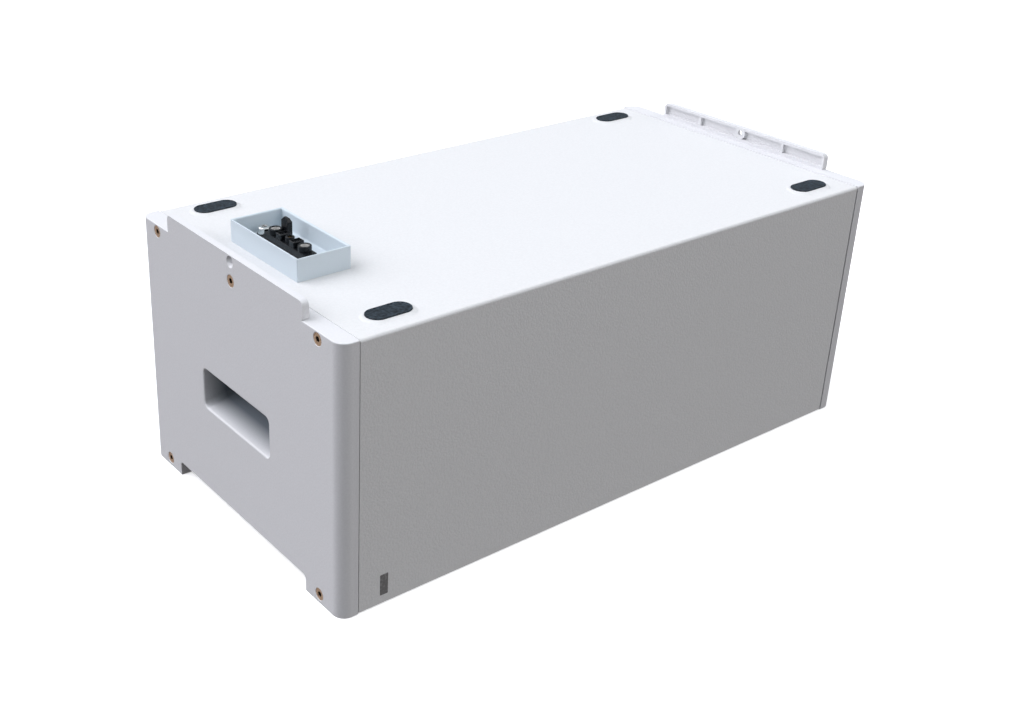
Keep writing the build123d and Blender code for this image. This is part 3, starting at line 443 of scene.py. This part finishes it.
def softened(node, radius):
    """A copy of a CAD node with its sharp edges rounded over."""
    shape = bmesh.new()
    shape.from_mesh(frame["nodes"][node].data)
    bmesh.ops.remove_doubles(shape, verts=shape.verts, dist=weld)
    bmesh.ops.dissolve_limit(shape, angle_limit=flat_angle, verts=shape.verts, edges=shape.edges)
    for face in shape.faces:
        face.smooth = True
    piece = add_piece(f"{node}_skin", shape, node)
    bevel = piece.modifiers.new("soft_edges", "BEVEL")
    bevel.limit_method = "ANGLE"
    bevel.angle_limit = sharp_angle
    bevel.width = radius
    bevel.segments = edge_segments
    bevel.use_clamp_overlap = True
    normals = piece.modifiers.new("even_shading", "WEIGHTED_NORMAL")
    normals.weight = flat_face_weight
    normals.keep_sharp = True


for node, radius in soft_edges.items():
    softened(node, radius)


def stadium(half_run, radius):
    """Outline points of a slot shape, anticlockwise."""
    points = []
    for end in (1, -1):
        for i in range(pad_end_points):
            turn = math.pi * i / (pad_end_points - 1) - end * math.pi / 2
            points.append(Vector((end * half_run + radius * math.cos(turn), radius * math.sin(turn), 0)))
    return points


def pad_profile(radius):
    """Inset and rise of each ring of a pad, from its foot over the rim to the middle of its field."""
    profile = [(0, 0), (0, pad_height - pad_shoulder)]
    for i in range(1, pad_shoulder_steps + 1):
        turn = math.pi / 2 * i / pad_shoulder_steps
        inset = pad_shoulder * (1 - math.cos(turn))
        profile.append((inset, pad_height - pad_shoulder * (1 - math.sin(turn))))
    profile += [(pad_rim, pad_height), (pad_field, pad_height - pad_sink)]
    profile += [(share * radius, pad_height - pad_sink) for share in pad_field_rings]
    return profile


def rubber_pad(node):
    """A thin slot-shaped pad with a rounded rim and a shallow sunk field."""
    low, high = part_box(node)
    radius = (high.y - low.y) / 2
    half_run = (high.x - low.x) / 2 - radius
    foot = Vector(((low.x + high.x) / 2, (low.y + high.y) / 2, high.z - pad_height))
    shape = bmesh.new()
    loops = []
    for inset, rise in pad_profile(radius):
        outline = stadium(half_run, radius - inset)
        loops.append([shape.verts.new(foot + point + Vector((0, 0, rise))) for point in outline])
    for below, above in zip(loops, loops[1:]):
        for i in range(len(below)):
            j = (i + 1) % len(below)
            shape.faces.new((below[i], below[j], above[j], above[i]))
    shape.faces.new(loops[-1])
    shape.faces.new(reversed(loops[0]))
    for face in shape.faces:
        face.smooth = len(face.verts) == 4
    add_piece(f"{node}_dome", shape, node)


for node in frame["nodes"]:
    if node.startswith("top_pad"):
        rubber_pad(node)


# ---------------------------------------------------------------- stage

def stage_piece(name, shape, material):
    """An object of the studio that the module neither mirrors nor is lit by."""
    mesh = bpy.data.meshes.new(name)
    shape.to_mesh(mesh)
    shape.free()
    mesh.materials.append(material)
    thing = bpy.data.objects.new(name, mesh)
    thing.visible_diffuse = False
    thing.visible_glossy = False
    bpy.context.scene.collection.objects.link(thing)
    return thing


def studio_floor():
    """Plain pale floor at the level that the module stands on."""
    shape = bmesh.new()
    bmesh.ops.create_grid(shape, x_segments=2, y_segments=2, size=stage_reach)
    finish = Finish("floor_paper", 0.9, Emission_Strength=floor_glow, Emission_Color=(1, 1, 1, 1))
    finish.colour(finish.ramp(finish.noise(0.4, detail=2.0), 0.3, 0.7, (0.93, 0.93, 0.93),
                              (0.95, 0.95, 0.95)))
    floor = stage_piece("studio_floor", shape, finish.material)
    floor.location.z = cad_box[0].z - floor_drop


def studio_backdrop():
    """White paper all round, far away."""
    shape = bmesh.new()
    bmesh.ops.create_uvsphere(shape, u_segments=48, v_segments=24, radius=stage_reach)
    finish = Finish("backdrop_paper", 1.0, Emission_Strength=1.0)
    paper = finish.ramp(finish.noise(6.0), 0.3, 0.7, (0.985, 0.985, 0.985), (1, 1, 1))
    finish.tree.links.new(paper, finish.shader.inputs["Emission Color"])
    finish.shader.inputs["Base Color"].default_value = (0, 0, 0, 1)
    backdrop = stage_piece("studio_backdrop", shape, finish.material)
    backdrop.visible_transmission = False
    backdrop.visible_shadow = False


def soft_sun(name, spot, power, colour, size):
    """A wide, soft light that shines from the direction of spot onto the module."""
    light = bpy.data.lights.new(name, "SUN")
    light.energy = power
    light.color = colour
    light.angle = size
    thing = bpy.data.objects.new(name, light)
    thing.location = spot
    thing.rotation_mode = "QUATERNION"
    thing.rotation_quaternion = (-Vector(spot)).to_track_quat("-Z", "Y")
    bpy.context.scene.collection.objects.link(thing)


def studio_light():
    """Sky that is bright overhead and dim below, a soft key from the left back and a weaker warm fill."""
    world = bpy.data.worlds.new("studio")
    bpy.context.scene.world = world
    world.use_nodes = True
    tree = world.node_tree
    direction = tree.nodes.new("ShaderNodeTexCoord")
    split = tree.nodes.new("ShaderNodeSeparateXYZ")
    tree.links.new(direction.outputs["Generated"], split.inputs["Vector"])
    rise = tree.nodes.new("ShaderNodeMapRange")
    rise.inputs["From Min"].default_value = -1.0
    tree.links.new(split.outputs["Z"], rise.inputs["Value"])
    sky = tree.nodes.new("ShaderNodeValToRGB")
    tree.links.new(rise.outputs["Result"], sky.inputs["Fac"])
    stops = sky.color_ramp.elements
    stops[0].position = sky_below_end
    stops[0].color = (*sky_below, 1)
    stops[1].position = 1.0
    stops[1].color = (*sky_above, 1)
    horizon = stops.new(sky_level_start)
    horizon.color = (*sky_level, 1)
    tree.links.new(sky.outputs["Color"], tree.nodes["Background"].inputs["Color"])
    soft_sun("key", key_from, key_power, key_colour, key_size)
    soft_sun("fill", fill_from, fill_power, fill_colour, fill_size)


def studio_camera():
    """Camera at the viewing angle described at the top."""
    level = Vector((math.cos(camera_azimuth), math.sin(camera_azimuth), 0))
    away = Vector((math.sin(camera_azimuth), -math.cos(camera_azimuth), 0))
    back = away * math.cos(camera_elevation) + Vector((0, 0, math.sin(camera_elevation)))
    upright = back.cross(level)
    right = level * math.cos(camera_roll) + upright * math.sin(camera_roll)
    up = upright * math.cos(camera_roll) - level * math.sin(camera_roll)
    data = bpy.data.cameras.new("studio_camera")
    data.lens = camera_lens
    data.shift_x, data.shift_y = camera_shift
    data.clip_start = 0.05
    data.clip_end = 2 * stage_reach
    camera = bpy.data.objects.new("studio_camera", data)
    camera.matrix_world = Matrix.Translation(camera_spot) @ Matrix((right, up, back)).transposed().to_4x4()
    bpy.context.scene.collection.objects.link(camera)
    bpy.context.scene.camera = camera


studio_floor()
studio_backdrop()
studio_light()
studio_camera()
bpy.context.scene.view_settings.view_transform = "Standard"
